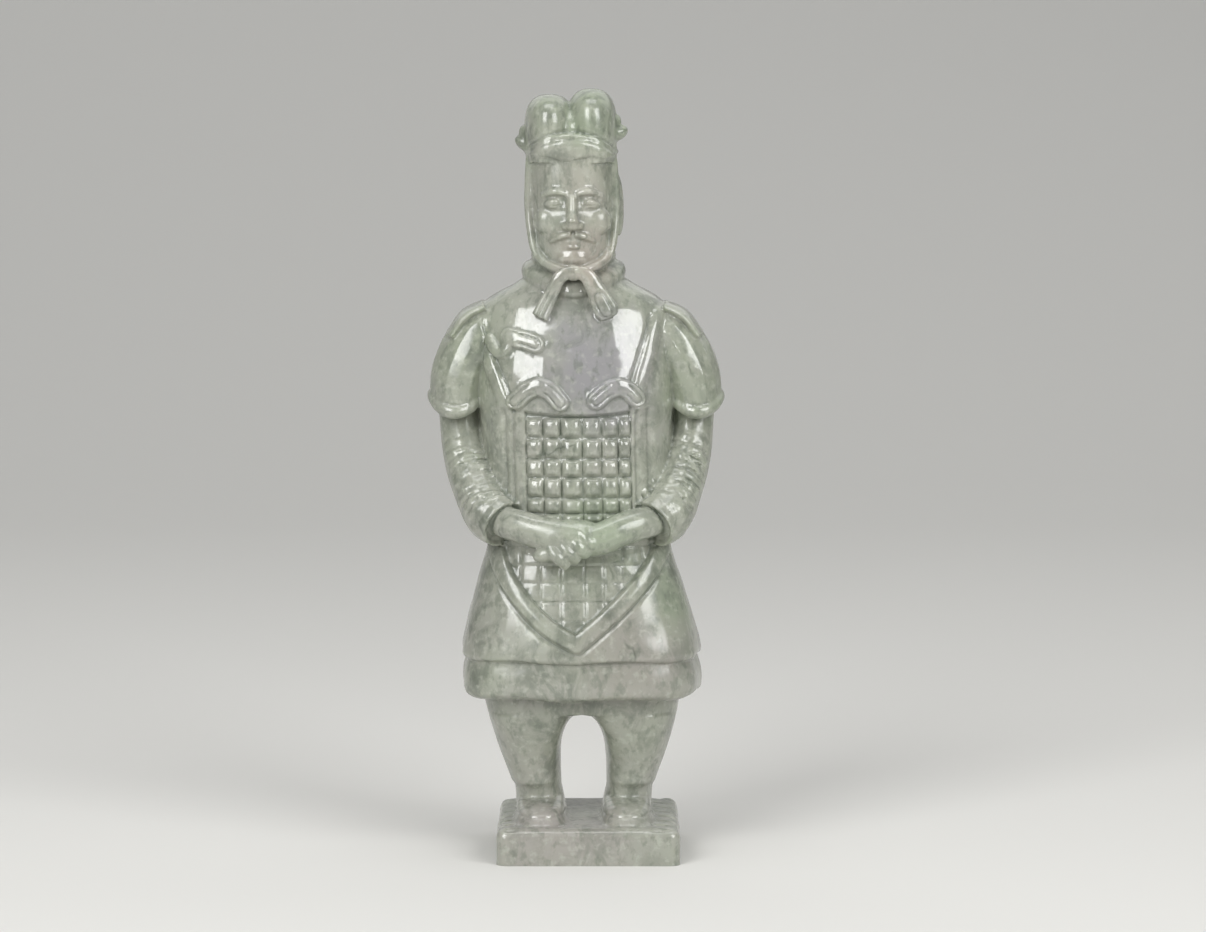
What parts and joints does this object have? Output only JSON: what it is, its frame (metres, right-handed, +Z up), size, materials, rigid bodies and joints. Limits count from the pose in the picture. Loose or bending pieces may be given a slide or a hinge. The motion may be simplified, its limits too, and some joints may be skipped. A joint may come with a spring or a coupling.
{
  "type": "jade soldier figurine",
  "caption": "Standing soldier carved in mottled pale green jade: lobed cap, scaled armour, clasped hands, two-tier skirt, and a low rectangular plinth.",
  "frame": {"origin": "centre of the plinth's underside, on the surface that it stands on", "axes": "+Z up through the figure, -Y the way the soldier faces, +X to the right of someone who looks at its face"},
  "size_m": [0.0489, 0.0351, 0.126],
  "materials": {
    "jade": "polished"
  },
  "bodies": {
    "root": {"soldier_figurine": "jade"}
  },
  "joints": []
}
